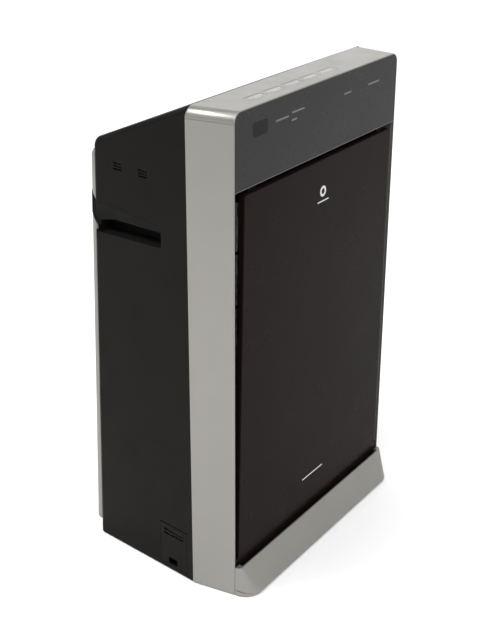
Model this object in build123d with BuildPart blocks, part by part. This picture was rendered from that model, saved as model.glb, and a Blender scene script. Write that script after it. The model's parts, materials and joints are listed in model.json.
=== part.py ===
from build123d import *
from math import atan2, cos, degrees, radians, sin, tan
import os

# Free-standing air purifier. X runs left to right, the front faces -Y, Z is up.
# The pieces are drawn with y = 0 inside the fan, and save() centres them on the footprint.
# The origin is the middle of the footprint, on the floor. All sizes in millimetres.

# Driving dimensions
HEIGHT = 600
FRONT_WIDTH = 352
BAND_WIDTH = 368
BAND_DEPTH = 57
TOE_REACH = 24.3
BODY_DEPTH = 166.7
BODY_FRONT_WIDTH = 366.4
BODY_REAR_WIDTH = 325.7
REAR_COVER_BULGE = 10.5
DECK_DROP_ANGLE = 23.1
REAR_LEAN = 0.0405
WALL = 2.5
FOOT_LIFT = 2
JOINT_GAP = 0.3

# Levels and stations worked out from them
FRONT_Y = -99.7
FOOT_FRONT_Y = FRONT_Y - TOE_REACH
BAND_REAR_Y = FRONT_Y + BAND_DEPTH
BODY_FRONT_Y = BAND_REAR_Y + 0.2
BODY_REAR_Y = BAND_REAR_Y + BODY_DEPTH
REAR_Y = BODY_REAR_Y + REAR_COVER_BULGE
DEPTH = REAR_Y - FOOT_FRONT_Y
CENTRING = Location((0, -(FOOT_FRONT_Y + REAR_Y) / 2, 0))

# Silver frame and foot
SEAM_Z = 587.6
CORNER_RADIUS = 12
MOUTH_LIP = 1.1
MOUTH_DEPTH = 3.4
CREST_Y = FRONT_Y - 7.1
CREST_Z = 40.5
TOE_LIP_Z = 4.3
TOE_BACK_HALF = FRONT_WIDTH / 2 - 0.4
RIM_BACK_Z = 8.4

# Display panel: light bars as (x, z, length), and the sensor window
DISPLAY_BOTTOM_Z = 513
DISPLAY_FACE_Y = FRONT_Y + 0.3
INDICATORS = [(-84, 574, 26), (-52, 576.5, 26), (-60, 568, 11), (56.5, 573.5, 17), (118.5, 573.5, 27)]
INDICATOR_HEIGHT = 2
WINDOW_CENTRE = (-126.8, 573.6)
WINDOW_SIZE = (28, 15.5)

# Dark housing
BODY_EDGE_RADIUS = 6
REAR_TOP_RADIUS = 14
SPLIT_X = 150
REAR_SPLIT_Z = 521

# Front panel
PANEL_BOTTOM_Z = 36
PANEL_TOP_Z = 508
PANEL_TOP_HALF = 160.6
PANEL_BOTTOM_HALF = 168.2
PANEL_DEPTH = 8
PANEL_TILT = 0.32
PIVOT_Z = 46
PIVOT_Y = FRONT_Y + 3.2
PIVOT_RADIUS = 2
RUNNING_FIT = 0.05

# Fan, scroll and filters
FAN_Z = 262
FAN_CENTRE = Location((0, 0, FAN_Z))
FAN_RADIUS = 108
FAN_FRONT_Y = -20
FAN_BACK_Y = 40
BLADE_COUNT = 36
SCROLL_FRONT_Y = -28
SCROLL_BACK_Y = 50
SHAFT_RADIUS = 4
CHAMBER_HALF = 168
CHAMBER_FRONT_Y = -88
BULKHEAD_Y = -31.5
CHAMBER_BOTTOM_Z = 46
CHAMBER_TOP_Z = 508

# Keys on the silver top
KEY_NAMES = ["key_power", "key_mode", "key_airflow", "key_timer", "key_ioniser"]
KEY_PITCH = 37
KEY_FIRST_X = -106
KEY_Y = -79
KEY_LENGTH = 30
KEY_WIDTH = 12

# Outlet flap on the sloping deck, measured along the slope from the deck's front edge
OPENING_HALF = 126
OPENING_START = 22
OPENING_END = 120
FLAP_PIVOT_RUN = 115
FLAP_PIVOT_DROP = 3.1

# Handles on both side walls, as (y, z) outlines: the whole insert and the finger slot in it
SCOOP = [(-2, 432), (101.5, 427), (140, 427), (140, 466), (79, 465), (53, 463.5), (22, 461), (-2, 456)]
SLOT = [(-2, 432), (99.4, 427.2), (99.4, 440.4), (76, 446.4), (-2, 449)]
WRAP_SLOPE = 1.8
WRAP_LOW_Z = 416.1
WRAP_HIGH_Z = 446.9
WRAP_X = 157

# Left side: sensor vents and the sensor cover
VENT_CENTRES_Y = [23.5, 63.3]
VENT_Z = 513
SENSOR_COVER_Y = -9.8
SENSOR_COVER_Z = 37
SENSOR_COVER_WIDTH = 44.5
SENSOR_COVER_HEIGHT = 58
SENSOR_PIVOT_Z = 62.4
SENSOR_PIVOT_DEPTH = 3.4

# Back: silver cover, its screws as (x, height up the back), and the cord inlet
COVER_BOTTOM = 10
COVER_TOP = 522
COVER_HALF = 158
COVER_EDGE = 5
COVER_THICKNESS = REAR_COVER_BULGE + (COVER_BOTTOM + COVER_EDGE) * REAR_LEAN
SCREW_PLACES = [(x, rise) for x in (-122, 122) for rise in (34, 258, 492)]
INLET_PLACE = (-112, 62)

# Feet
FOOT_PLACES = [(-140, -75), (140, -75), (-132, 92), (132, 92)]

SIDE_ANGLE = degrees(atan2((BODY_FRONT_WIDTH - BODY_REAR_WIDTH) / 2, BODY_REAR_Y - BAND_REAR_Y))
DECK_SLOPE = tan(radians(DECK_DROP_ANGLE))

os.makedirs("parts", exist_ok=True)


def save(piece, name, place=Location()):
    """Centre a finished piece on the footprint, label it and write its STEP file."""
    centred = piece.part.moved(CENTRING * place)
    centred.label = name
    export_step(centred, f"parts/{name}.step")


def profile(points):
    """Side-view polygon through (y, z) points."""
    with BuildSketch(Plane.YZ) as outline:
        with BuildLine():
            Polyline(*points, close=True)
        make_face()
    return outline.sketch


def band_half(y):
    """Half width of the silver frame's outside at depth y."""
    return FRONT_WIDTH / 2 + (BAND_WIDTH - FRONT_WIDTH) / 2 * (y - FRONT_Y) / BAND_DEPTH


def side_run(y):
    """Distance along the slanting side wall from its front edge to depth y."""
    return (y - BAND_REAR_Y) / cos(radians(SIDE_ANGLE))


def side_plane(hand):
    """Outer face of a side wall: hand is 1 on the right and -1 on the left, local y is up."""
    sine, cosine = sin(radians(SIDE_ANGLE)), cos(radians(SIDE_ANGLE))
    run = (-sine, cosine, 0) if hand > 0 else (-sine, -cosine, 0)
    return Plane(origin=(hand * BODY_FRONT_WIDTH / 2, BAND_REAR_Y, 0), x_dir=run, z_dir=(hand * cosine, sine, 0))


def deck_plane(drop=0):
    """Sloping deck: local y runs down the slope to the rear, local z is its outward normal."""
    sine, cosine = sin(radians(DECK_DROP_ANGLE)), cos(radians(DECK_DROP_ANGLE))
    plane = Plane(origin=(0, BAND_REAR_Y, HEIGHT), x_dir=(1, 0, 0), z_dir=(0, sine, cosine))
    return plane.offset(-drop)


def rear_plane(out=0):
    """Leaning back of the dark body: local x runs to -X, local y is up the back."""
    lean = degrees(atan2(REAR_LEAN, 1))
    direction = (0, cos(radians(lean)), sin(radians(lean)))
    return Plane(origin=(0, BODY_REAR_Y, FOOT_LIFT), x_dir=(-1, 0, 0), z_dir=direction).offset(out)


def panel_plane():
    """Front face of the front panel, standing slightly open at its top; local y is up."""
    tilt = radians(PANEL_TILT)
    return Plane(origin=(0, FRONT_Y - 0.2, PANEL_BOTTOM_Z), x_dir=(1, 0, 0), z_dir=(0, -cos(tilt), -sin(tilt)))


# --------------------------------------------------------------------------- silver frame
def frame_section(y, inset):
    """Upright section of the frame's outline at depth y, with rounded top corners."""
    height = HEIGHT - inset - FOOT_LIFT
    with BuildSketch(Plane.XZ.offset(-y)) as section:
        with Locations((0, FOOT_LIFT + height / 2)):
            Rectangle(2 * (band_half(y) - inset), height)
        fillet(section.vertices().group_by(Axis.Y)[-1], CORNER_RADIUS - inset)
    return section.sketch


def frame_shell():
    """The whole silver band as one arch, before it is cut into its three mouldings."""
    with BuildPart() as shell:
        loft(sections=[frame_section(FRONT_Y, 0), frame_section(BAND_REAR_Y, 0)])
        loft(sections=[frame_section(FRONT_Y, WALL), frame_section(BAND_REAR_Y, WALL)], mode=Mode.SUBTRACT)
        front_edges = shell.faces().sort_by(Axis.Y)[0].edges()
        outer_edges = front_edges.filter_by(lambda edge: edge.center().Z > FOOT_LIFT + 1)
        fillet(outer_edges, 0.8)
        extrude(to_extrude=frame_section(FRONT_Y, MOUTH_LIP), amount=-MOUTH_DEPTH, mode=Mode.SUBTRACT)
    return shell.part


def make_frame_sides():
    with BuildPart() as frame_right:
        add(frame_shell())
        with Locations((BAND_WIDTH / 2, 0, SEAM_Z / 2)):
            Box(BAND_WIDTH, DEPTH, SEAM_Z, mode=Mode.INTERSECT)
    save(frame_right, "frame_right")
    with BuildPart() as frame_left:
        mirror(frame_right.part, about=Plane.YZ)
    save(frame_left, "frame_left")


def make_frame_top():
    with BuildPart() as frame_top:
        add(frame_shell())
        with Locations((0, 0, SEAM_Z + 0.3 + HEIGHT / 2)):
            Box(2 * BAND_WIDTH, DEPTH, HEIGHT, mode=Mode.INTERSECT)
        with BuildSketch(Plane.XY.offset(HEIGHT)):
            for number in range(len(KEY_NAMES)):
                with Locations((KEY_FIRST_X + number * KEY_PITCH, KEY_Y)):
                    RectangleRounded(KEY_LENGTH + 2 * JOINT_GAP, KEY_WIDTH + 2 * JOINT_GAP, 1.8)
        extrude(amount=-WALL, mode=Mode.SUBTRACT)
    save(frame_top, "frame_top")


def toe_outline(z, half, front, radius):
    """Plan of the foot at one level: rounded in front, and as wide as the frame where it meets it."""
    back = FRONT_Y - JOINT_GAP
    with BuildSketch(Plane.XY.offset(z)) as outline:
        with BuildLine():
            Polyline((-half, front), (half, front), (TOE_BACK_HALF, back), (-TOE_BACK_HALF, back), close=True)
        make_face()
        fillet(outline.vertices().group_by(Axis.Y)[0], radius)
    return outline.sketch


def make_base_skirt():
    """Low rim that carries the foot; it is set back a little under the foot's front edge."""
    front, gap, pocket_depth = FOOT_FRONT_Y + 1, 0.2, 1.6
    rim = [(FRONT_Y, FOOT_LIFT), (FRONT_Y, RIM_BACK_Z - gap), (front, TOE_LIP_Z - gap), (front, FOOT_LIFT)]
    with BuildPart() as base_skirt:
        extrude(to_extrude=toe_outline(FOOT_LIFT, TOE_BACK_HALF, front, 22), amount=RIM_BACK_Z)
        extrude(to_extrude=profile(rim), amount=FRONT_WIDTH, both=True, mode=Mode.INTERSECT)
        with BuildSketch(Plane.XY.offset(FOOT_LIFT)):
            with Locations((0, (front + FRONT_Y) / 2)):
                Rectangle(FRONT_WIDTH - 60, 12)
        extrude(amount=pocket_depth, mode=Mode.SUBTRACT)
    save(base_skirt, "base_skirt")


def make_toe_cover():
    """Sloping silver foot with rounded ends; the panel's foot stands in the trough behind its crest."""
    foot_half, crest_half = 170.3, 173.8
    trough_floor, trough_half, crest_wall = 31, 167, 1.8
    cavity_bottom, cavity_top, cavity_half, skin = 11, trough_floor - WALL, 160, 2.8
    slope = (CREST_Y - FOOT_FRONT_Y) / (CREST_Z - TOE_LIP_Z)
    underside = [(FOOT_FRONT_Y, 0), (FRONT_Y, 0), (FRONT_Y, RIM_BACK_Z), (FOOT_FRONT_Y, TOE_LIP_Z)]
    cavity = [(FRONT_Y, cavity_bottom), (FRONT_Y, cavity_top),
              (FOOT_FRONT_Y + slope * (cavity_top - TOE_LIP_Z) + skin, cavity_top),
              (FOOT_FRONT_Y + slope * (cavity_bottom - TOE_LIP_Z) + skin, cavity_bottom)]
    with BuildPart() as toe_cover:
        loft(sections=[toe_outline(TOE_LIP_Z, foot_half, FOOT_FRONT_Y, 22),
                       toe_outline(CREST_Z, crest_half, CREST_Y, 6)])
        extrude(to_extrude=profile(underside), amount=FRONT_WIDTH, both=True, mode=Mode.SUBTRACT)
        extrude(to_extrude=profile(cavity), amount=cavity_half, both=True, mode=Mode.SUBTRACT)
        with Locations((0, (CREST_Y + crest_wall + FRONT_Y) / 2, trough_floor + CREST_Z / 2)):
            Box(2 * trough_half, FRONT_Y - CREST_Y - crest_wall, CREST_Z, mode=Mode.SUBTRACT)
    save(toe_cover, "toe_cover")


# --------------------------------------------------------------------------- display and keys
def display_plane(back=0):
    """Face of the display panel, or a plane `back` behind it; local y is up."""
    return Plane.XZ.offset(-DISPLAY_FACE_Y - back)


def indicator_bars(clearance):
    """Outlines of the light bars, `clearance` larger all round."""
    with BuildSketch(display_plane()) as bars:
        for x, z, length in INDICATORS:
            with Locations((x, z)):
                RectangleRounded(length + 2 * clearance, INDICATOR_HEIGHT + 2 * clearance, 0.8)
    return bars.sketch


def window_outline(clearance):
    with BuildSketch(display_plane()) as outline:
        with Locations(WINDOW_CENTRE):
            RectangleRounded(WINDOW_SIZE[0] + 2 * clearance, WINDOW_SIZE[1] + 2 * clearance, 3)
    return outline.sketch


def make_display_panel():
    thickness, shelf_reach, fit = 3, 13, 0.15
    half = FRONT_WIDTH / 2 - MOUTH_LIP - fit
    top = HEIGHT - MOUTH_LIP - fit
    with BuildPart() as display_panel:
        with BuildSketch(display_plane()) as outline:
            with Locations((0, (DISPLAY_BOTTOM_Z + top) / 2)):
                Rectangle(2 * half, top - DISPLAY_BOTTOM_Z)
            fillet(outline.vertices().group_by(Axis.Y)[-1], CORNER_RADIUS - MOUTH_LIP - fit)
        extrude(amount=-thickness)
        with Locations((0, DISPLAY_FACE_Y + shelf_reach / 2, DISPLAY_BOTTOM_Z + 1.2)):
            Box(2 * (half - 2), shelf_reach, 2.4)
        bottom_edge = display_panel.faces().sort_by(Axis.Y)[0].edges().sort_by(Axis.Z)[0]
        chamfer(bottom_edge, 0.8)
        extrude(to_extrude=window_outline(0.1), amount=-thickness, mode=Mode.SUBTRACT)
        extrude(to_extrude=indicator_bars(0.1), amount=-thickness, mode=Mode.SUBTRACT)
    save(display_panel, "display_panel")


def make_display_lenses():
    with BuildPart() as display_window:
        extrude(to_extrude=window_outline(0), amount=-2.6)
    save(display_window, "display_window")
    with BuildPart() as indicator_lenses:
        extrude(to_extrude=indicator_bars(0), amount=-2.6)
    save(indicator_lenses, "indicator_lenses")


def make_display_board():
    board_y = -92
    with BuildPart() as display_board:
        with BuildSketch(Plane.XZ.offset(-board_y)):
            with Locations((0, 571)):
                Rectangle(300, 28)
        extrude(amount=-1.6)
        with BuildSketch(Plane.XZ.offset(-board_y)):
            with Locations([(x, z) for x, z, _ in INDICATORS] + [WINDOW_CENTRE]):
                Rectangle(6, 3)
        extrude(amount=3)
    save(display_board, "display_board")


def key_centres():
    return [(KEY_FIRST_X + number * KEY_PITCH, KEY_Y) for number in range(len(KEY_NAMES))]


def make_keys():
    """Flat push keys, each with a flange that stops it leaving the frame and a stem for its switch."""
    flange_top, stem_foot = HEIGHT - WALL - 0.1, 591.9
    for name, centre in zip(KEY_NAMES, key_centres()):
        with BuildPart() as key:
            with BuildSketch(Plane.XY.offset(HEIGHT - 0.1)):
                with Locations(centre):
                    RectangleRounded(KEY_LENGTH, KEY_WIDTH, 1.6)
            extrude(amount=-(HEIGHT - 0.1 - flange_top + 1.4))
            chamfer(key.faces().sort_by(Axis.Z)[-1].edges(), 0.3)
            with BuildSketch(Plane.XY.offset(flange_top)):
                with Locations(centre):
                    Rectangle(KEY_LENGTH + 3, KEY_WIDTH + 3)
            extrude(amount=-1.4)
            with BuildSketch(Plane.XY.offset(flange_top - 1.4)):
                with Locations(centre):
                    Circle(3)
            extrude(amount=-(flange_top - 1.4 - stem_foot))
        save(key, name)


def make_key_board():
    board_top = 589
    with BuildPart() as key_board:
        with BuildSketch(Plane.XY.offset(board_top)):
            with Locations((KEY_FIRST_X + 2 * KEY_PITCH, KEY_Y)):
                Rectangle(5 * KEY_PITCH + 8, 26)
        extrude(amount=-1.6)
        with BuildSketch(Plane.XY.offset(board_top)):
            with Locations(key_centres()):
                Circle(3)
        extrude(amount=2)
    save(key_board, "key_board")


def make_control_tray():
    """Dark tray behind the display; its posts carry the key board."""
    floor_z, back_y = 516.5, -47
    with BuildPart() as control_tray:
        with Locations((0, (-84 + back_y) / 2, floor_z + 1)):
            Box(330, back_y + 84, 2)
        with Locations((0, back_y - 1, (floor_z + 584) / 2)):
            Box(330, 2, 584 - floor_z)
        with Locations([(x, KEY_Y, (floor_z + 587.4) / 2) for x in (KEY_FIRST_X - 12, KEY_FIRST_X + 160)]):
            Cylinder(3.5, 587.4 - floor_z)
    save(control_tray, "control_tray")


# --------------------------------------------------------------------------- front panel
def panel_outline(inset, back=0):
    """The panel's outline, a little narrower at the top, on its own leaning plane."""
    rise = (PANEL_TOP_Z - PANEL_BOTTOM_Z) / cos(radians(PANEL_TILT))
    with BuildSketch(panel_plane().offset(-back)) as outline:
        with BuildLine():
            Polyline((-PANEL_BOTTOM_HALF + inset, inset), (PANEL_BOTTOM_HALF - inset, inset),
                     (PANEL_TOP_HALF - inset, rise - inset), (-PANEL_TOP_HALF + inset, rise - inset), close=True)
        make_face()
        fillet(outline.vertices().group_by(Axis.Y)[-1], 5 - inset)
    return outline.sketch


def make_front_panel():
    face_thickness, flange = 3, 2.2
    with BuildPart() as front_panel:
        extrude(to_extrude=panel_outline(0), amount=-PANEL_DEPTH)
        fillet(front_panel.faces().sort_by(Axis.Y)[0].edges(), 1)
        extrude(to_extrude=panel_outline(flange, face_thickness), amount=-PANEL_DEPTH, mode=Mode.SUBTRACT)
        with Locations((0, PIVOT_Y, PIVOT_Z)):
            Cylinder(PIVOT_RADIUS, FRONT_WIDTH, rotation=(0, 90, 0), mode=Mode.SUBTRACT)
    save(front_panel, "front_panel")


def make_panel_pins():
    inner_end, outer_end = 163.5, 172
    with BuildPart() as panel_pins:
        for hand in (-1, 1):
            with Locations((hand * (inner_end + outer_end) / 2, PIVOT_Y, PIVOT_Z)):
                Cylinder(PIVOT_RADIUS, outer_end - inner_end, rotation=(0, 90, 0))
    save(panel_pins, "panel_pins")


def make_panel_catches():
    """Two catch tongues on the panel's top edge."""
    with BuildPart() as panel_catches:
        with BuildSketch(panel_plane().offset(-5)):
            with Locations([(-140, 474.1), (140, 474.1)]):
                RectangleRounded(14, 3.8, 1.2)
        extrude(amount=-2.2)
    save(panel_catches, "panel_catches")


def make_panel_emblem():
    """A plain ring over a short bar, and a longer bar low on the panel."""
    ring_x, ring_rise = 1.3, 433
    with BuildPart() as panel_emblem:
        with BuildSketch(panel_plane()):
            with Locations((ring_x, ring_rise)):
                Circle(6.6)
                Circle(3.4, mode=Mode.SUBTRACT)
            with Locations((ring_x + 0.8, ring_rise - 12)):
                Rectangle(24, 1.5)
            with Locations((-1.5, 51.5)):
                Rectangle(48, 1.6)
        extrude(amount=0.25)
    save(panel_emblem, "panel_emblem")


# --------------------------------------------------------------------------- dark housing
def housing_block(inset):
    """Solid body that narrows to the rear, with a sloping top and a leaning back."""
    side_inset = inset / cos(radians(SIDE_ANGLE))
    rear_y = BODY_REAR_Y - inset
    deck_z = HEIGHT - inset / cos(radians(DECK_DROP_ANGLE))
    corner_y = (deck_z + DECK_SLOPE * BAND_REAR_Y - FOOT_LIFT - rear_y / REAR_LEAN) / (DECK_SLOPE - 1 / REAR_LEAN)
    corner_z = deck_z - DECK_SLOPE * (corner_y - BAND_REAR_Y)
    with BuildPart() as block:
        with BuildSketch(Plane.XY.offset(FOOT_LIFT)):
            with BuildLine():
                front_half = BODY_FRONT_WIDTH / 2 - side_inset
                rear_half = BODY_REAR_WIDTH / 2 - side_inset
                Polyline((-front_half, BAND_REAR_Y), (front_half, BAND_REAR_Y), (rear_half, BODY_REAR_Y),
                         (-rear_half, BODY_REAR_Y), close=True)
            make_face()
        extrude(amount=HEIGHT)
        section = profile([(BODY_FRONT_Y, FOOT_LIFT), (rear_y, FOOT_LIFT), (corner_y, corner_z),
                           (BODY_FRONT_Y, deck_z - 0.2 * DECK_SLOPE)])
        extrude(to_extrude=section, amount=BODY_FRONT_WIDTH, both=True, mode=Mode.INTERSECT)
        rear_top = block.faces().sort_by(Axis.Y)[-1].edges().sort_by(Axis.Z)[-1]
        fillet(rear_top, REAR_TOP_RADIUS - inset)
        for index in (0, -1):
            side = block.faces().sort_by(Axis.X)[index]
            rounded = [edge for edge in side.edges()
                       if edge.center().Z > FOOT_LIFT + 1 and edge.center().Y > BODY_FRONT_Y + 1]
            fillet(rounded, BODY_EDGE_RADIUS - inset)
    return block.part


def housing_shell():
    """The dark housing's skin, before it is cut into its mouldings."""
    with BuildPart() as shell:
        add(housing_block(0))
        add(housing_block(WALL), mode=Mode.SUBTRACT)
    return shell.part


def handle_outline(points):
    """Outline on the side wall through (y, z) points, rounded at its front corners."""
    with BuildSketch(side_plane(1)) as outline:
        with BuildLine():
            Polyline(*[(side_run(y), z) for y, z in points], close=True)
        make_face()
        fillet(outline.vertices().sort_by(Axis.X)[:2], 3)
    return outline.sketch


def wrap_outline(inset):
    """Side view of the band where the handle insert passes around the rear corner."""
    start, end = 100, REAR_Y
    rise = WRAP_SLOPE * (end - start)
    return profile([(start, WRAP_LOW_Z + inset), (end, WRAP_LOW_Z + rise + inset),
                    (end, WRAP_HIGH_Z + rise - inset), (start, WRAP_HIGH_Z - inset)])


def make_side_shells():
    cover_x = -side_run(SENSOR_COVER_Y)
    with BuildPart() as side_shell_right:
        add(housing_shell())
        with Locations((SPLIT_X + BAND_WIDTH / 2, 0, HEIGHT / 2)):
            Box(BAND_WIDTH, 2 * DEPTH, 2 * HEIGHT, mode=Mode.INTERSECT)
        extrude(to_extrude=handle_outline(SCOOP), amount=40, both=True, mode=Mode.SUBTRACT)
    save(side_shell_right, "side_shell_right")
    with BuildPart() as side_shell_left:
        mirror(side_shell_right.part, about=Plane.YZ)
        with BuildSketch(side_plane(-1)):
            for centre_y in VENT_CENTRES_Y:
                with Locations((-side_run(centre_y), VENT_Z)):
                    with GridLocations(0, 3.5, 1, 3):
                        SlotOverall(14.5, 1.8)
            with Locations((cover_x, SENSOR_COVER_Z + 0.5)):
                Rectangle(SENSOR_COVER_WIDTH + 0.8, SENSOR_COVER_HEIGHT + 1.8)
        extrude(amount=-10, mode=Mode.SUBTRACT)
        with Locations(side_plane(-1)):
            with Locations([(cover_x + hand * 24.1, SENSOR_PIVOT_Z, -WALL - 2) for hand in (-1, 1)]):
                Box(2.4, 9, 4)
            with Locations((cover_x, SENSOR_PIVOT_Z, -SENSOR_PIVOT_DEPTH)):
                Cylinder(1.5 + RUNNING_FIT, 52, rotation=(0, 90, 0), mode=Mode.SUBTRACT)
    save(side_shell_left, "side_shell_left")


def make_sensor_cover():
    """Small hinged cover over the dust sensor, with two air slots and a finger notch."""
    wall = side_plane(-1)
    centre_x = -side_run(SENSOR_COVER_Y)
    with BuildPart() as sensor_cover:
        with BuildSketch(wall):
            with Locations((centre_x, SENSOR_COVER_Z)):
                RectangleRounded(SENSOR_COVER_WIDTH, SENSOR_COVER_HEIGHT, 1.5)
            with Locations((centre_x, 55.5)):
                with GridLocations(0, 5.5, 1, 2):
                    SlotOverall(33, 2.8, mode=Mode.SUBTRACT)
            with Locations((centre_x - 2, 14)):
                RectangleRounded(15, 9, 1.5, mode=Mode.SUBTRACT)
        extrude(amount=-2)
        with Locations(wall):
            with Locations([(centre_x + hand * 19.7, SENSOR_PIVOT_Z, -SENSOR_PIVOT_DEPTH) for hand in (-1, 1)]):
                Cylinder(2.4, 5, rotation=(0, 90, 0))
            with Locations([(centre_x + hand * 22, SENSOR_PIVOT_Z, -SENSOR_PIVOT_DEPTH) for hand in (-1, 1)]):
                Cylinder(1.5, 5, rotation=(0, 90, 0))
    save(sensor_cover, "sensor_cover")


def make_side_sensors():
    with BuildPart(side_plane(-1)) as dust_sensor:
        with Locations((-side_run(-7), 30, -19)):
            Box(34, 38, 18)
        with Locations((-side_run(-7), 34, -8.5)):
            Cylinder(5, 3)
    save(dust_sensor, "dust_sensor")
    with BuildPart(side_plane(-1)) as climate_sensor:
        with Locations((-side_run(43.4), VENT_Z, -9)):
            Box(64, 22, 1.6)
        with Locations([(-side_run(y), VENT_Z, -5.6) for y in VENT_CENTRES_Y]):
            Box(10, 8, 5.2)
    save(climate_sensor, "climate_sensor")


def wedge_section(y, top_z, foot_z, depth):
    """Triangle across the side wall at depth y, cutting in from top_z down to foot_z."""
    wall = side_plane(1)
    origin = wall.from_local_coords(Vector(side_run(y), 0, 0))
    with BuildSketch(Plane(origin=origin, x_dir=(0, 0, 1), z_dir=wall.x_dir)) as section:
        with BuildLine():
            Polyline((top_z, 0.02), (foot_z, -depth), (foot_z - 6, -depth), (foot_z - 6, 8), (top_z, 8), close=True)
        make_face()
    return section.sketch


def make_handle_cups():
    """Hand-hold insert: a scooped lip over a finger slot, carried around the rear corner."""
    cup_depth, cup_wall, collar = 24, 2.2, 3.5
    slot_front, slot_back = SLOT[0][0], SLOT[1][0]
    inner_x = SPLIT_X + 0.2
    with BuildPart() as wrap:
        with Locations(((inner_x + WRAP_X) / 2, (slot_back + REAR_Y) / 2, SLOT[1][1] + HEIGHT / 2)):
            Box(WRAP_X - inner_x, REAR_Y - slot_back, HEIGHT)
        extrude(to_extrude=wrap_outline(JOINT_GAP), amount=WRAP_X, both=True, mode=Mode.INTERSECT)
        with BuildSketch(rear_plane(COVER_THICKNESS - 1.2)):
            with Locations((0, HEIGHT / 2)):
                Rectangle(BAND_WIDTH, HEIGHT)
        extrude(amount=-DEPTH / 2, mode=Mode.INTERSECT)
    with BuildPart() as handle_cup_right:
        extrude(to_extrude=handle_outline(SCOOP), amount=-cup_depth)
        with BuildSketch(side_plane(1).offset(-WALL - 0.2)):
            with Locations((side_run((slot_front + slot_back) / 2), 438)):
                Rectangle(side_run(slot_back + cup_wall) - side_run(slot_front - cup_wall), 20 + 2 * collar)
        extrude(amount=-(cup_depth - WALL - 0.2))
        add(housing_block(0.05), mode=Mode.INTERSECT)
        extrude(to_extrude=handle_outline(SLOT), amount=-(cup_depth - cup_wall), mode=Mode.SUBTRACT)
        loft(sections=[wedge_section(-3, 456, 449, 3), wedge_section(125, 467, 440, 5)], mode=Mode.SUBTRACT)
        with Locations((WRAP_X + WALL * 4, (slot_back + REAR_Y) / 2, (SLOT[1][1] + SLOT[2][1]) / 2)):
            Box(WALL * 8, REAR_Y - slot_back, SLOT[2][1] - SLOT[1][1], mode=Mode.SUBTRACT)
        add(wrap.part)
        with Locations((0, slot_back + cup_wall + DEPTH / 2, HEIGHT / 2)):
            Box(2 * inner_x, DEPTH, 2 * HEIGHT, mode=Mode.SUBTRACT)
    save(handle_cup_right, "handle_cup_right")
    with BuildPart() as handle_cup_left:
        mirror(handle_cup_right.part, about=Plane.YZ)
    save(handle_cup_left, "handle_cup_left")


def make_rear_panel():
    with BuildPart() as rear_panel:
        add(housing_shell())
        with Locations((0, BODY_REAR_Y, REAR_SPLIT_Z / 2 - 0.1)):
            Box(2 * SPLIT_X - JOINT_GAP, 90, REAR_SPLIT_Z - 0.2, mode=Mode.INTERSECT)
        with Locations(rear_plane()):
            with Locations(SCREW_PLACES):
                Cylinder(1.5 + RUNNING_FIT, 20, mode=Mode.SUBTRACT)
            with Locations(INLET_PLACE):
                Cylinder(7.2, 20, mode=Mode.SUBTRACT)
    save(rear_panel, "rear_panel")


def rear_cover_outline(inset):
    """Outline of the silver back on the dark body's rear face."""
    with BuildSketch(rear_plane()) as outline:
        with Locations((0, (COVER_BOTTOM + COVER_TOP) / 2)):
            Rectangle(2 * (COVER_HALF - inset), COVER_TOP - COVER_BOTTOM - 2 * inset)
        fillet(outline.vertices(), 9 - inset)
    return outline.sketch


def make_rear_cover():
    """Silver back with a notch at each handle and a boss for each screw."""
    boss_radius, head_radius, head_depth = 4.6, 3.3, 2.5
    with BuildPart() as notches:
        extrude(to_extrude=wrap_outline(0), amount=BAND_WIDTH / 2, both=True)
        with Locations((0, 0, HEIGHT / 2)):
            Box(2 * SPLIT_X - 0.2, 2 * DEPTH, 2 * HEIGHT, mode=Mode.SUBTRACT)
    with BuildPart() as rear_cover:
        extrude(to_extrude=rear_cover_outline(0), amount=COVER_THICKNESS)
        fillet(rear_cover.faces().sort_by(Axis.Y)[-1].edges(), COVER_EDGE)
        extrude(to_extrude=rear_cover_outline(WALL), amount=COVER_THICKNESS - WALL, mode=Mode.SUBTRACT)
        add(notches.part, mode=Mode.SUBTRACT)
        with Locations(rear_plane()):
            with Locations([(x, rise, COVER_THICKNESS / 2 - 1) for x, rise in SCREW_PLACES]):
                Cylinder(boss_radius, COVER_THICKNESS - 2)
            with Locations([(x, rise, COVER_THICKNESS) for x, rise in SCREW_PLACES]):
                Cylinder(head_radius, 2 * head_depth, mode=Mode.SUBTRACT)
            with Locations(SCREW_PLACES):
                Cylinder(1.5 + RUNNING_FIT, 30, mode=Mode.SUBTRACT)
            with Locations(INLET_PLACE):
                Cylinder(7.2, 30, mode=Mode.SUBTRACT)
    save(rear_cover, "rear_cover")
    with BuildPart(rear_plane()) as rear_screws:
        with Locations([(x, rise, COVER_THICKNESS - 1.6) for x, rise in SCREW_PLACES]):
            Cylinder(3, 1.8)
        with Locations([(x, rise, COVER_THICKNESS - 8.5) for x, rise in SCREW_PLACES]):
            Cylinder(1.5, 12)
    save(rear_screws, "rear_screws")


def make_cord_inlet():
    """Bush in the back that the supply cord would pass through."""
    x, rise = INLET_PLACE
    inner_end = -WALL - 1
    with BuildPart(rear_plane()) as cord_inlet:
        with Locations((x, rise, (COVER_THICKNESS + inner_end) / 2)):
            Cylinder(7, COVER_THICKNESS - inner_end)
        with Locations((x, rise, COVER_THICKNESS + 0.3)):
            Cylinder(9.5, 0.6)
        with Locations((x, rise, 0)):
            Cylinder(3.4, 60, mode=Mode.SUBTRACT)
    save(cord_inlet, "cord_inlet")


# --------------------------------------------------------------------------- deck, grille and flap
def opening_outline(grow, drop):
    """Air outlet's outline on the deck, `grow` larger all round, `drop` below its surface."""
    length = OPENING_END - OPENING_START
    with BuildSketch(deck_plane(drop)) as outline:
        with Locations((0, OPENING_START + length / 2)):
            Rectangle(2 * (OPENING_HALF + grow), length + 2 * grow)
    return outline.sketch


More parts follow.
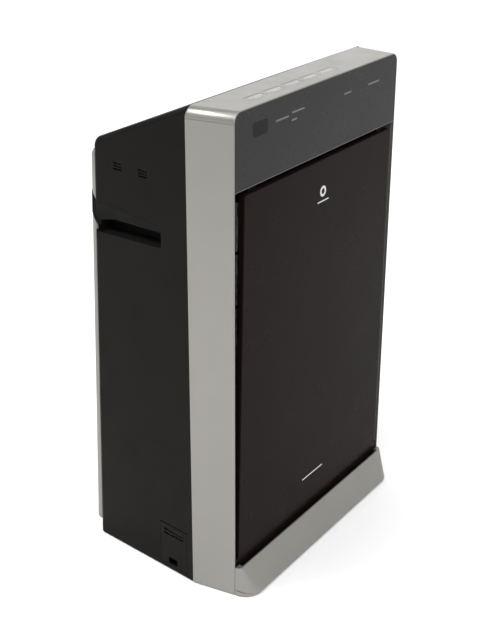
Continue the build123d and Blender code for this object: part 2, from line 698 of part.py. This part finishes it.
def make_top_deck():
    collar_depth, collar_wall = 14, 2
    with BuildPart() as top_deck:
        add(housing_shell())
        with Locations((0, 0, REAR_SPLIT_Z + HEIGHT / 2)):
            Box(2 * SPLIT_X - JOINT_GAP, 2 * DEPTH, HEIGHT, mode=Mode.INTERSECT)
        extrude(to_extrude=opening_outline(collar_wall, WALL / 2), amount=-(collar_depth - WALL / 2))
        extrude(to_extrude=opening_outline(0, -2), amount=-30, mode=Mode.SUBTRACT)
        with Locations(deck_plane()):
            with Locations((0, FLAP_PIVOT_RUN, -FLAP_PIVOT_DROP)):
                Cylinder(1.5 + RUNNING_FIT, 2 * OPENING_HALF + 2.4, rotation=(0, 90, 0), mode=Mode.SUBTRACT)
    save(top_deck, "top_deck")


def make_outlet_flap():
    """Flap that lies flush in the deck and lifts at its front edge."""
    half, start, end = OPENING_HALF - 0.6, OPENING_START + 0.6, OPENING_END - 1.2
    with BuildPart(deck_plane()) as outlet_flap:
        with Locations((0, (start + end) / 2, -1.3)):
            Box(2 * half, end - start, 2.2)
        fillet(outlet_flap.edges().filter_by(Axis.X).sort_by(Axis.Y)[-2:], 1)
        with BuildSketch(deck_plane(2.3)):
            with Locations((0, (start + end) / 2 - 4)):
                with GridLocations(0, 18, 1, 4):
                    Rectangle(2 * half - 20, 1.6)
        extrude(amount=-2)
        for hand in (-1, 1):
            with Locations((hand * (half - 5), FLAP_PIVOT_RUN, -FLAP_PIVOT_DROP)):
                Cylinder(2.6, 10, rotation=(0, 90, 0))
            with Locations((hand * (half - 2), FLAP_PIVOT_RUN, -FLAP_PIVOT_DROP)):
                Cylinder(1.5, 6.4, rotation=(0, 90, 0))
    save(outlet_flap, "outlet_flap")


def make_outlet_grille():
    """Finger guard under the flap: a frame with bars down the slope and two cross bars."""
    top_drop, depth, border = 8, 4, 4
    length = OPENING_END - OPENING_START
    with BuildPart() as outlet_grille:
        with BuildSketch(deck_plane(top_drop)):
            with Locations((0, OPENING_START + length / 2)):
                Rectangle(2 * OPENING_HALF, length)
                Rectangle(2 * (OPENING_HALF - border), length - 2 * border, mode=Mode.SUBTRACT)
                with GridLocations(9, 0, 27, 1):
                    Rectangle(1.6, length - 2)
                with GridLocations(0, 33, 1, 2):
                    Rectangle(2 * OPENING_HALF - 2, 2)
        extrude(amount=-depth)
    save(outlet_grille, "outlet_grille")


# --------------------------------------------------------------------------- base
def make_base_tray():
    tray_top = 6
    with BuildPart() as base_tray:
        with BuildSketch(Plane.XY.offset(FOOT_LIFT)):
            with BuildLine():
                front, back = FRONT_Y + 0.5, BODY_REAR_Y - WALL - 0.5
                front_half = band_half(front) - WALL - 0.2
                middle_half = BODY_FRONT_WIDTH / 2 - WALL - JOINT_GAP
                back_half = BODY_REAR_WIDTH / 2 - WALL - 2.5
                Polyline((-front_half, front), (front_half, front), (middle_half, BAND_REAR_Y),
                         (back_half, back), (-back_half, back), (-middle_half, BAND_REAR_Y), close=True)
            make_face()
        extrude(amount=tray_top - FOOT_LIFT)
        with Locations([(x, y, FOOT_LIFT) for x, y in FOOT_PLACES]):
            Cylinder(11.2, 2, align=(Align.CENTER, Align.CENTER, Align.MIN), mode=Mode.SUBTRACT)
        for hand in (-1, 1):
            with Locations((hand * 171, PIVOT_Y + 0.8, 28)):
                Box(2.8, 6.6, 46)
        with Locations((0, PIVOT_Y, PIVOT_Z)):
            Cylinder(PIVOT_RADIUS + RUNNING_FIT, FRONT_WIDTH, rotation=(0, 90, 0), mode=Mode.SUBTRACT)
    save(base_tray, "base_tray")


def make_rubber_feet():
    with BuildPart() as rubber_feet:
        with Locations([(x, y, 0) for x, y in FOOT_PLACES]):
            Cylinder(11, 2 * FOOT_LIFT, align=(Align.CENTER, Align.CENTER, Align.MIN))
        chamfer(rubber_feet.edges().group_by(Axis.Z)[0], 0.6)
    save(rubber_feet, "rubber_feet")


# --------------------------------------------------------------------------- filters
def filter_frame(front, back, border):
    """Rectangular filter frame that fills the chamber's opening."""
    half, middle = CHAMBER_HALF - WALL - 0.4, (CHAMBER_BOTTOM_Z + CHAMBER_TOP_Z) / 2
    height = CHAMBER_TOP_Z - CHAMBER_BOTTOM_Z - 2 * WALL - 0.8
    with BuildSketch(Plane.XZ.offset(-front)) as outline:
        with Locations((0, middle)):
            Rectangle(2 * half, height)
            Rectangle(2 * (half - border), height - 2 * border, mode=Mode.SUBTRACT)
    return extrude(outline.sketch, amount=-(back - front), mode=Mode.PRIVATE)


def make_filter_chamber():
    """Open-fronted box for the filters; its back is the bulkhead with the fan's inlet."""
    half, middle = CHAMBER_HALF, (CHAMBER_BOTTOM_Z + CHAMBER_TOP_Z) / 2
    height = CHAMBER_TOP_Z - CHAMBER_BOTTOM_Z
    with BuildPart() as filter_chamber:
        with BuildSketch(Plane.XZ.offset(-CHAMBER_FRONT_Y)):
            with Locations((0, middle)):
                Rectangle(2 * half, height)
                Rectangle(2 * (half - WALL), height - 2 * WALL, mode=Mode.SUBTRACT)
        extrude(amount=-(BULKHEAD_Y - CHAMBER_FRONT_Y))
        with BuildSketch(Plane.XZ.offset(-BULKHEAD_Y)):
            with Locations((0, middle)):
                Rectangle(2 * half, height)
            with Locations((0, FAN_Z)):
                Circle(100, mode=Mode.SUBTRACT)
        extrude(amount=-WALL)
        with Locations([(hand * (half - WALL / 2), (CHAMBER_FRONT_Y + BULKHEAD_Y) / 2, CHAMBER_BOTTOM_Z / 2 + 3)
                        for hand in (-1, 1)]):
            Box(WALL, BULKHEAD_Y - CHAMBER_FRONT_Y, CHAMBER_BOTTOM_Z - 6)
    save(filter_chamber, "filter_chamber")


def make_prefilter():
    front, back = CHAMBER_FRONT_Y + 0.5, CHAMBER_FRONT_Y + 5
    middle = (CHAMBER_BOTTOM_Z + CHAMBER_TOP_Z) / 2
    with BuildPart() as prefilter_frame:
        add(filter_frame(front, back, 9))
        with BuildSketch(Plane.XZ.offset(-front)):
            with Locations((0, middle)):
                with GridLocations(62, 0, 4, 1):
                    Rectangle(3, 440)
                with GridLocations(0, 64, 1, 6):
                    Rectangle(316, 3)
        extrude(amount=-2)
    save(prefilter_frame, "prefilter_frame")
    with BuildPart() as prefilter_mesh:
        with BuildSketch(Plane.XZ.offset(-front - -2.2)):
            with Locations((0, middle)):
                Rectangle(311, 434)
        extrude(amount=-0.8)
    save(prefilter_mesh, "prefilter_mesh")


def make_hepa_filter():
    front, back, border = -81, -46, 8
    fold_pitch, folds, sheet = 9.6, 32, 5
    middle_bottom, middle_top = CHAMBER_BOTTOM_Z + WALL + border + 1, CHAMBER_TOP_Z - WALL - border - 1
    with BuildPart() as hepa_frame:
        add(filter_frame(front, back, border))
    save(hepa_frame, "hepa_frame")
    crests = [(-folds * fold_pitch / 2 + step * fold_pitch / 2, front + 2 if step % 2 else back - 2 - sheet)
              for step in range(2 * folds + 1)]
    with BuildPart() as hepa_pleats:
        with BuildSketch(Plane.XY.offset(middle_bottom)):
            with BuildLine():
                Polyline(*crests, *[(x, y + sheet) for x, y in crests[::-1]], close=True)
            make_face()
        extrude(amount=middle_top - middle_bottom)
    save(hepa_pleats, "hepa_pleats")


def make_deodoriser():
    front, back = -44, -33
    middle = (CHAMBER_BOTTOM_Z + CHAMBER_TOP_Z) / 2
    with BuildPart() as deodoriser_filter:
        add(filter_frame(front, back, 8))
        with BuildSketch(Plane.XZ.offset(-front)):
            with Locations((0, middle)):
                Rectangle(316, 442)
                with GridLocations(26, 31, 12, 14):
                    RegularPolygon(11.5, 6, mode=Mode.SUBTRACT)
        extrude(amount=-(back - front - 1))
    save(deodoriser_filter, "deodoriser_filter")


# --------------------------------------------------------------------------- fan and motor
def scroll_outline(inset):
    """Scroll casing's outline: a round belly that opens into the duct to the outlet."""
    with BuildSketch(Plane.XZ.offset(-SCROLL_FRONT_Y)) as outline:
        with Locations((6, FAN_Z)):
            Circle(140)
        with BuildLine():
            Polyline((-134, FAN_Z), (-134, 530), (122, 530), (122, 478), (66, 420), (66, FAN_Z), close=True)
        make_face()
        if inset:
            offset(amount=-inset, kind=Kind.INTERSECTION)
    return outline.sketch


def make_scroll_housing():
    depth = SCROLL_BACK_Y - SCROLL_FRONT_Y
    with BuildPart() as scroll_housing:
        extrude(to_extrude=scroll_outline(0), amount=-depth)
        extrude(to_extrude=scroll_outline(WALL), amount=-(depth - WALL), mode=Mode.SUBTRACT)
        with Locations((-6, (SCROLL_FRONT_Y + SCROLL_BACK_Y - WALL) / 2, 525)):
            Box(2 * (128 - WALL), depth - WALL, 12, mode=Mode.SUBTRACT)
        with Locations((0, SCROLL_BACK_Y, FAN_Z)):
            Cylinder(48, 20, rotation=(90, 0, 0), mode=Mode.SUBTRACT)
    save(scroll_housing, "scroll_housing")


def make_inlet_ring():
    """Bell mouth between the bulkhead and the fan."""
    start_y = BULKHEAD_Y + WALL
    with BuildPart() as inlet_ring:
        mouth = profile([(start_y, 104), (start_y, 98), (start_y + 3, 90), (start_y + 7.5, 84), (start_y + 8, 86),
                         (start_y + 4.5, 91.5), (start_y + 2, 98.5), (start_y + 2, 104)])
        revolve(profiles=mouth, axis=Axis.Y)
    save(inlet_ring, "inlet_ring", FAN_CENTRE)


def make_fan_wheel():
    """Forward-curved centrifugal wheel."""
    inner, outer = 90, FAN_RADIUS
    with BuildSketch() as blade:
        with BuildLine():
            ThreePointArc((inner, 0), (inner + 9.5, 4.4), (outer - 0.8, 4))
            ThreePointArc((outer - 0.8, 4), (inner + 9, 5.8), (inner, 1.2))
            Line((inner, 1.2), (inner, 0))
        make_face()
    with BuildPart() as fan_wheel:
        with BuildSketch(Plane.XZ.offset(-FAN_BACK_Y + 2.5)):
            Circle(outer)
        extrude(amount=-2.5)
        with BuildSketch(Plane.XZ.offset(-FAN_FRONT_Y)):
            Circle(outer)
            Circle(inner, mode=Mode.SUBTRACT)
        extrude(amount=-2.5)
        with BuildSketch(Plane.XZ.offset(-FAN_FRONT_Y - 2)):
            with PolarLocations(0, BLADE_COUNT):
                add(blade.sketch)
        extrude(amount=-(FAN_BACK_Y - FAN_FRONT_Y - 3))
        with BuildSketch(Plane.XZ.offset(-10)):
            Circle(13)
        extrude(amount=-28)
        Cylinder(SHAFT_RADIUS, 200, rotation=(90, 0, 0), mode=Mode.SUBTRACT)
    save(fan_wheel, "fan_wheel", FAN_CENTRE)


def make_shaft_and_nut():
    with BuildPart() as motor_shaft:
        with Locations((0, 40, FAN_Z)):
            Cylinder(SHAFT_RADIUS, 76, rotation=(90, 0, 0))
    save(motor_shaft, "motor_shaft")
    with BuildPart() as fan_nut:
        with BuildSketch(Plane.XZ.offset(-4)):
            with Locations((0, FAN_Z)):
                RegularPolygon(9, 6)
                Circle(SHAFT_RADIUS, mode=Mode.SUBTRACT)
        extrude(amount=-6)
    save(fan_nut, "fan_nut")


def make_motor():
    with BuildPart() as fan_motor:
        with Locations((0, 63, FAN_Z)):
            Cylinder(44, 42, rotation=(90, 0, 0))
        chamfer(fan_motor.edges().filter_by(GeomType.CIRCLE), 3)
        with Locations((0, 58, FAN_Z)):
            Cylinder(SHAFT_RADIUS + RUNNING_FIT, 44, rotation=(90, 0, 0), mode=Mode.SUBTRACT)
    save(fan_motor, "fan_motor")


def make_motor_bracket():
    """Three-legged spider that holds the motor behind the scroll."""
    plate_y = 84
    with BuildPart() as motor_bracket:
        with BuildSketch(Plane.XZ.offset(-plate_y)):
            with Locations((0, FAN_Z)):
                Circle(30)
                Circle(8, mode=Mode.SUBTRACT)
                with PolarLocations(42, 3, start_angle=90):
                    Rectangle(44, 14)
        extrude(amount=-3)
        with BuildSketch(Plane.XZ.offset(-SCROLL_BACK_Y)):
            with Locations((0, FAN_Z)):
                with PolarLocations(58, 3, start_angle=90):
                    Circle(6)
        extrude(amount=-(plate_y - SCROLL_BACK_Y))
    save(motor_bracket, "motor_bracket")


# --------------------------------------------------------------------------- electronics
def make_power_board():
    """Upright supply board on the tray, with its transformer and capacitors."""
    board_y = 100
    with BuildPart() as power_board:
        with Locations((90, board_y, 63)):
            Box(110, 1.6, 114)
        with Locations((62, board_y - 12, 40)):
            Box(34, 24, 30)
        with Locations([(x, board_y - 12, 38) for x in (98, 118)]):
            Cylinder(8, 24, rotation=(90, 0, 0))
        with Locations([(x, board_y - 5, 90) for x in (58, 84, 112)]):
            Box(16, 10, 14)
    save(power_board, "power_board")


def make_ioniser():
    with BuildPart() as ioniser_unit:
        with Locations((-121.5, -8, 498)):
            Box(20, 30, 18)
        with Locations((-108.5, -8, 498)):
            Cone(2.5, 0.4, 6, rotation=(0, 90, 0))
    save(ioniser_unit, "ioniser_unit")


for make in (make_frame_sides, make_frame_top, make_base_skirt, make_toe_cover,
             make_display_panel, make_display_lenses, make_display_board, make_keys, make_key_board,
             make_control_tray, make_front_panel, make_panel_pins, make_panel_catches, make_panel_emblem,
             make_side_shells, make_sensor_cover, make_side_sensors, make_handle_cups,
             make_rear_panel, make_rear_cover, make_cord_inlet,
             make_top_deck, make_outlet_flap, make_outlet_grille, make_base_tray, make_rubber_feet,
             make_filter_chamber, make_prefilter, make_hepa_filter, make_deodoriser,
             make_scroll_housing, make_inlet_ring, make_fan_wheel, make_shaft_and_nut, make_motor,
             make_motor_bracket, make_power_board, make_ioniser):
    make()
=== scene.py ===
import json
import math

import bmesh
import bpy
from mathutils import Matrix, Vector


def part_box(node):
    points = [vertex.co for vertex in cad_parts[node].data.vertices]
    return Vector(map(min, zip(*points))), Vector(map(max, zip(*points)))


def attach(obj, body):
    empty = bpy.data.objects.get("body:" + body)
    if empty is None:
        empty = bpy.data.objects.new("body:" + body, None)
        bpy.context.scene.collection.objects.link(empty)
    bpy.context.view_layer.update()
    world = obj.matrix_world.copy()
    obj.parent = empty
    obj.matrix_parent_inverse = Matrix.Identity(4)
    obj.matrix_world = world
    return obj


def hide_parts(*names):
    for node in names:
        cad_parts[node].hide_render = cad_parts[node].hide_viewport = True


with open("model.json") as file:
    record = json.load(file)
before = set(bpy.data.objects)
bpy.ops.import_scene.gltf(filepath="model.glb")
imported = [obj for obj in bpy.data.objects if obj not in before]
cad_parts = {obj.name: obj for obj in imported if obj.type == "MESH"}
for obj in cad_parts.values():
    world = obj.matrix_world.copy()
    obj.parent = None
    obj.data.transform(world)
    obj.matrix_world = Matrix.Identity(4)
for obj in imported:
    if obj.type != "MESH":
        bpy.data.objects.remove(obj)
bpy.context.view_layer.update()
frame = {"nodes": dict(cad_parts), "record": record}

# Camera: metres and degrees in the row's frame
CAMERA_PLACE = (-1.18184, -0.80810, 0.93035)
CAMERA_TARGET = (0.02169, 0.00845, 0.26344)
CAMERA_ROLL = 0.25
LENS = 69.055
FAR_CLIP = 50

# Stage and light: metres and watts
STAGE_RADIUS = 30
STAGE_SIDES = 64
WALL_HEIGHT = 8
STAGE_WHITE = (0.93, 0.93, 0.93)
WORLD_STRENGTH = 0.50
SUN_DIRECTION = (0.30, 0.22, -1)
SUN_SPREAD = 90
SUN_STRENGTH = 2.0

# Colours, linear
SILVER = (0.230, 0.222, 0.204)
CHARCOAL = (0.0060, 0.0050, 0.0041)
FRONT_BROWN = (0.0070, 0.0042, 0.0036)
DISPLAY_GREY = (0.0155, 0.0142, 0.0145)
# The pale grey of the display's edge strip is a painted highlight along the panel's lower edge
EDGE_HIGHLIGHT_GREY = (0.10, 0.10, 0.10)
WINDOW_BLACK = (0.013, 0.012, 0.012)
INNER_BLACK = (0.0055, 0.0050, 0.0046)
PRINT_GREY = (0.50, 0.50, 0.50)
FAINT_PRINT = (0.13, 0.13, 0.13)
KEY_PRINT = (0.42, 0.42, 0.42)
NATURAL_WHITE = (0.62, 0.62, 0.60)
PAPER_WHITE = (0.72, 0.72, 0.68)
CARBON_BLACK = (0.012, 0.012, 0.012)
BOARD_GREEN = (0.02, 0.11, 0.045)
PLATED_GREY = (0.46, 0.46, 0.47)
RUBBER_BLACK = (0.014, 0.014, 0.014)

# Surface patterns: noise scales per metre, and the depth of a fine grain in metres
CLOUD_SCALE = 9
SMUDGE_SCALE = 26
GRAIN_DEPTH = 0.00005
GLOSS_SPREAD = 0.15
COAT_ROUGHNESS = 0.12

# Edge rounding, metres
SOFT_EDGES = {"toe_cover": 0.0022, "base_skirt": 0.0010, "frame_left": 0.0006, "frame_right": 0.0006,
              "frame_top": 0.0006, "front_panel": 0.0007, "display_panel": 0.0006, "side_shell_left": 0.0007,
              "side_shell_right": 0.0007, "top_deck": 0.0007, "rear_cover": 0.0006, "rear_panel": 0.0006,
              "outlet_flap": 0.0005, "sensor_cover": 0.0003}
EDGE_ANGLE = math.radians(32)
EDGE_SEGMENTS = 3
WELD_DISTANCE = 0.000005

# Finishes of single pieces that differ from the rest of their slot; the handle cups take the near-black
# inner finish as painted shade in the handle recesses
FINISH_AND_SHADE_OVERRIDES = {"handle_cup_left": "inner_plastic", "handle_cup_right": "inner_plastic",
              "indicator_lenses": "faint_print"}

# Marks on the keys: half length as a share of the key's width, start and end as shares of its depth
KEYS = ("key_power", "key_mode", "key_airflow", "key_timer", "key_ioniser")
KEY_DASHES = ((0.36, 0.50, 0.62), (0.22, 0.26, 0.34))
MARK_HEIGHT = 0.00003

# Prefilter net, and the pale strip of painted edge highlight on the display, metres
NET_PITCH = 0.0031
THREAD = 0.00045
BEAD_INSET = 0.0004
BEAD_PROUD = 0.0001
BEAD_RISE = 0.0001
BEAD_HEIGHT = 0.0007


# --------------------------------------------------------------------------- materials
def new_material(name):
    material = bpy.data.materials.new(name)
    material.use_nodes = True
    tree = material.node_tree
    shader = tree.nodes["Principled BSDF"]
    return material, tree, shader


def noise(tree, vector, scale, detail, roughness=0.5):
    node = tree.nodes.new("ShaderNodeTexNoise")
    node.inputs["Scale"].default_value = scale
    node.inputs["Detail"].default_value = detail
    node.inputs["Roughness"].default_value = roughness
    tree.links.new(vector, node.inputs["Vector"])
    return node.outputs["Fac"]


def spread(tree, value, low, high):
    """Maps the middle of a noise pattern's range onto low to high."""
    node = tree.nodes.new("ShaderNodeMapRange")
    node.inputs["From Min"].default_value = 0.3
    node.inputs["From Max"].default_value = 0.7
    node.inputs["To Min"].default_value = low
    node.inputs["To Max"].default_value = high
    tree.links.new(value, node.inputs["Value"])
    return node.outputs["Result"]


def tint(tree, value, dark, light):
    node = tree.nodes.new("ShaderNodeMix")
    node.data_type = "RGBA"
    node.inputs["A"].default_value = (*dark, 1)
    node.inputs["B"].default_value = (*light, 1)
    tree.links.new(value, node.inputs["Factor"])
    return node.outputs["Result"]


def bump(tree, shader, height, strength):
    node = tree.nodes.new("ShaderNodeBump")
    node.inputs["Strength"].default_value = strength
    node.inputs["Distance"].default_value = GRAIN_DEPTH
    tree.links.new(height, node.inputs["Height"])
    tree.links.new(node.outputs["Normal"], shader.inputs["Normal"])


def scaled(colour, factor):
    return tuple(channel * factor for channel in colour)


def plastic(name, colour, roughness, grain_scale, grain_strength, variation, coat=0.0, metallic=0.0,
            specular=0.5):
    """Moulded or painted surface: cloudy colour, uneven gloss and a fine grain."""
    material, tree, shader = new_material(name)
    vector = tree.nodes.new("ShaderNodeTexCoord").outputs["Object"]
    clouds = spread(tree, noise(tree, vector, CLOUD_SCALE, 4), 0, 1)
    smudges = noise(tree, vector, SMUDGE_SCALE, 5, 0.6)
    gloss = spread(tree, smudges, roughness * (1 - GLOSS_SPREAD), roughness * (1 + GLOSS_SPREAD))
    shader.inputs["Metallic"].default_value = metallic
    shader.inputs["Specular IOR Level"].default_value = specular
    shader.inputs["Coat Weight"].default_value = coat
    shader.inputs["Coat Roughness"].default_value = COAT_ROUGHNESS
    tree.links.new(tint(tree, clouds, scaled(colour, 1 - variation), scaled(colour, 1 + variation)),
                   shader.inputs["Base Color"])
    tree.links.new(gloss, shader.inputs["Roughness"])
    bump(tree, shader, noise(tree, vector, grain_scale, 2), grain_strength)
    return material


def make_materials():
    """One finish for each material slot, and the three prints and the strip of painted edge highlight that
    only single pieces have.
    """
    return {
        "silver": plastic("silver_paint", SILVER, 0.33, 2600, 0.10, 0.02, coat=0.1, metallic=0.6),
        "dark_body": plastic("charcoal_texture", CHARCOAL, 0.45, 1500, 0.25, 0.06, specular=0.05),
        "gloss_front": plastic("brown_gloss", FRONT_BROWN, 0.30, 120, 0.004, 0.05, specular=0.03),
        # Painted highlight: a pale strip stands in for the light along the display's lower edge
        "gloss_display": plastic("grey_gloss", DISPLAY_GREY, 0.29, 120, 0.004, 0.04, specular=0.12),
        "edge_highlight_bead": plastic("painted_edge_highlight", EDGE_HIGHLIGHT_GREY, 0.30, 120, 0.004, 0.04, specular=0.3),
        "smoked_window": plastic("smoked_window", WINDOW_BLACK, 0.16, 120, 0.004, 0.05, specular=0.05),
        "light_print": plastic("pale_print", PRINT_GREY, 0.45, 900, 0.1, 0.06, specular=0.2),
        "faint_print": plastic("faint_print", FAINT_PRINT, 0.45, 900, 0.1, 0.06, specular=0.1),
        "key_print": plastic("key_print", KEY_PRINT, 0.45, 900, 0.1, 0.04, specular=0.3),
        "inner_plastic": plastic("inner_black", INNER_BLACK, 0.65, 900, 0.3, 0.1, specular=0.06),
        "white_plastic": plastic("natural_plastic", NATURAL_WHITE, 0.4, 1200, 0.2, 0.05),
        "filter_paper": plastic("filter_paper", PAPER_WHITE, 0.85, 700, 0.6, 0.06),
        "carbon": plastic("carbon_granules", CARBON_BLACK, 0.7, 500, 0.9, 0.4, specular=0.2),
        "mesh": plastic("net_thread", CARBON_BLACK, 0.55, 2500, 0.5, 0.15, specular=0.2),
        "board": plastic("circuit_board", BOARD_GREEN, 0.35, 700, 0.2, 0.15, coat=0.3),
        "steel": plastic("plated_steel", PLATED_GREY, 0.32, 1800, 0.15, 0.08, metallic=1.0),
        "rubber": plastic("matt_rubber", RUBBER_BLACK, 0.8, 1400, 0.5, 0.15, specular=0.2),
    }


def dress_cad(materials):
    slots = {row["node"]: row["material_slot"] for row in frame["record"]["subparts"]}
    for name, piece in frame["nodes"].items():
        piece.data.materials.clear()
        piece.data.materials.append(materials[FINISH_AND_SHADE_OVERRIDES.get(name, slots[name])])
        if name in SOFT_EDGES:
            soften(piece, SOFT_EDGES[name])


def soften(piece, width):
    """Rounds a piece's sharp edges, which the light then picks out."""
    weld = piece.modifiers.new("join_faces", "WELD")
    weld.merge_threshold = WELD_DISTANCE
    bevel = piece.modifiers.new("soft_edges", "BEVEL")
    bevel.width = width
    bevel.segments = EDGE_SEGMENTS
    bevel.limit_method = "ANGLE"
    bevel.angle_limit = EDGE_ANGLE
    bevel.harden_normals = True


# --------------------------------------------------------------------------- pieces that only show
def new_object(name, shape, material):
    """An object in the scene made from a finished shape."""
    mesh = bpy.data.meshes.new(name)
    shape.to_mesh(mesh)
    shape.free()
    mesh.materials.append(material)
    created = bpy.data.objects.new(name, mesh)
    bpy.context.scene.collection.objects.link(created)
    return created


def mesh_piece(name, shape, material, body):
    piece = new_object(name, shape, material)
    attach(piece, body)
    return piece


def add_block(shape, low, high):
    """Adds a closed rectangular block between two corners."""
    size = [top - bottom for bottom, top in zip(low, high)]
    middle = [(bottom + top) / 2 for bottom, top in zip(low, high)]
    place = Matrix.Translation(middle) @ Matrix.Diagonal((*size, 1))
    bmesh.ops.create_cube(shape, size=1, matrix=place)


def make_key_marks(materials):
    """A printed dash and a shorter one before it on each key, in place of its lettering."""
    for key in KEYS:
        (left, front, _), (right, back, top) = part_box(key)
        middle, depth, width = (left + right) / 2, back - front, right - left
        shape = bmesh.new()
        for half, start, end in KEY_DASHES:
            add_block(shape, (middle - half * width, front + start * depth, top - MARK_HEIGHT),
                      (middle + half * width, front + end * depth, top + MARK_HEIGHT))
        mesh_piece(key + "_print", shape, materials["key_print"], key)


def make_display_edge_highlight(materials):
    """Fine pale strip along the lower front edge of the display panel: a painted highlight, standing in for
    the light that edge catches.
    """
    (left, front, bottom), (right, _, _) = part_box("display_panel")
    shape = bmesh.new()
    add_block(shape, (left + BEAD_INSET, front - BEAD_PROUD, bottom + BEAD_RISE),
              (right - BEAD_INSET, front + BEAD_HEIGHT, bottom + BEAD_RISE + BEAD_HEIGHT))
    mesh_piece("display_edge_highlight", shape, materials["edge_highlight_bead"], "root")


def make_prefilter_net(materials):
    """Threads both ways across the dust filter's frame, one layer in front of the other."""
    (left, front, bottom), (right, back, top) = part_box("prefilter_mesh")
    middle = (front + back) / 2
    shape = bmesh.new()
    for number in range(1, round((right - left) / NET_PITCH)):
        x = left + number * NET_PITCH
        add_block(shape, (x - THREAD / 2, middle, bottom), (x + THREAD / 2, middle + THREAD, top))
    for number in range(1, round((top - bottom) / NET_PITCH)):
        z = bottom + number * NET_PITCH
        add_block(shape, (left, middle - THREAD, z - THREAD / 2), (right, middle, z + THREAD / 2))
    net = mesh_piece("prefilter_net", shape, materials["mesh"], "root")
    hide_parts("prefilter_mesh")


# --------------------------------------------------------------------------- camera, floor and light
def make_camera():
    data = bpy.data.cameras.new("camera")
    data.lens = LENS
    data.clip_end = FAR_CLIP
    camera = bpy.data.objects.new("camera", data)
    bpy.context.scene.collection.objects.link(camera)
    place = Vector(CAMERA_PLACE)
    turn = (Vector(CAMERA_TARGET) - place).to_track_quat("-Z", "Y").to_matrix().to_4x4()
    roll = Matrix.Rotation(math.radians(CAMERA_ROLL), 4, "Z")
    camera.matrix_world = Matrix.Translation(place) @ turn @ roll
    bpy.context.scene.camera = camera


def make_stage():
    """A wide pale floor and a low pale wall all round, far from the object."""
    pale = plastic("stage_white", STAGE_WHITE, 0.7, 60, 0.02, 0.003)
    floor_shape = bmesh.new()
    bmesh.ops.create_circle(floor_shape, cap_ends=True, radius=STAGE_RADIUS, segments=STAGE_SIDES)
    wall_shape = bmesh.new()
    bmesh.ops.create_cone(wall_shape, cap_ends=False, segments=STAGE_SIDES, radius1=STAGE_RADIUS,
                          radius2=STAGE_RADIUS, depth=WALL_HEIGHT,
                          matrix=Matrix.Translation((0, 0, WALL_HEIGHT / 2)))
    for name, shape in (("floor", floor_shape), ("wall", wall_shape)):
        new_object(name, shape, pale)


def add_light(name, data, place, direction):
    light = bpy.data.objects.new(name, data)
    bpy.context.scene.collection.objects.link(light)
    light.location = place
    light.rotation_euler = direction.to_track_quat("-Z", "Y").to_euler()


def area_light(name, place, target, size, power):
    data = bpy.data.lights.new(name, "AREA")
    data.shape = "RECTANGLE"
    data.size, data.size_y = size
    data.energy = power
    add_light(name, data, place, Vector(target) - Vector(place))


def make_light():
    world = bpy.data.worlds.new("studio")
    world.use_nodes = True
    background = world.node_tree.nodes["Background"]
    background.inputs["Color"].default_value = (1, 1, 1, 1)
    background.inputs["Strength"].default_value = WORLD_STRENGTH
    bpy.context.scene.world = world
    sun = bpy.data.lights.new("overhead", "SUN")
    sun.angle = math.radians(SUN_SPREAD)
    sun.energy = SUN_STRENGTH
    add_light("overhead", sun, (0, 0, 0), Vector(SUN_DIRECTION))
    area_light("key", (-1.6, -0.6, 2.4), (0, 0, 0.35), (1.2, 1.2), 6)
    area_light("corner", (-1.0, 0.95, 1.95), (-0.17, -0.09, 0.58), (0.8, 0.6), 26)
    area_light("rear_soft", (1.9, 1.2, 1.7), (0, 0, 0.5), (2.2, 1.4), 7)
    area_light("front", (-0.5, -2.1, 1.7), (0, -0.1, 0.05), (1.6, 1.2), 17)
    bpy.context.scene.view_settings.view_transform = "Standard"


materials = make_materials()
dress_cad(materials)
make_key_marks(materials)
make_display_edge_highlight(materials)
make_prefilter_net(materials)
make_camera()
make_stage()
make_light()
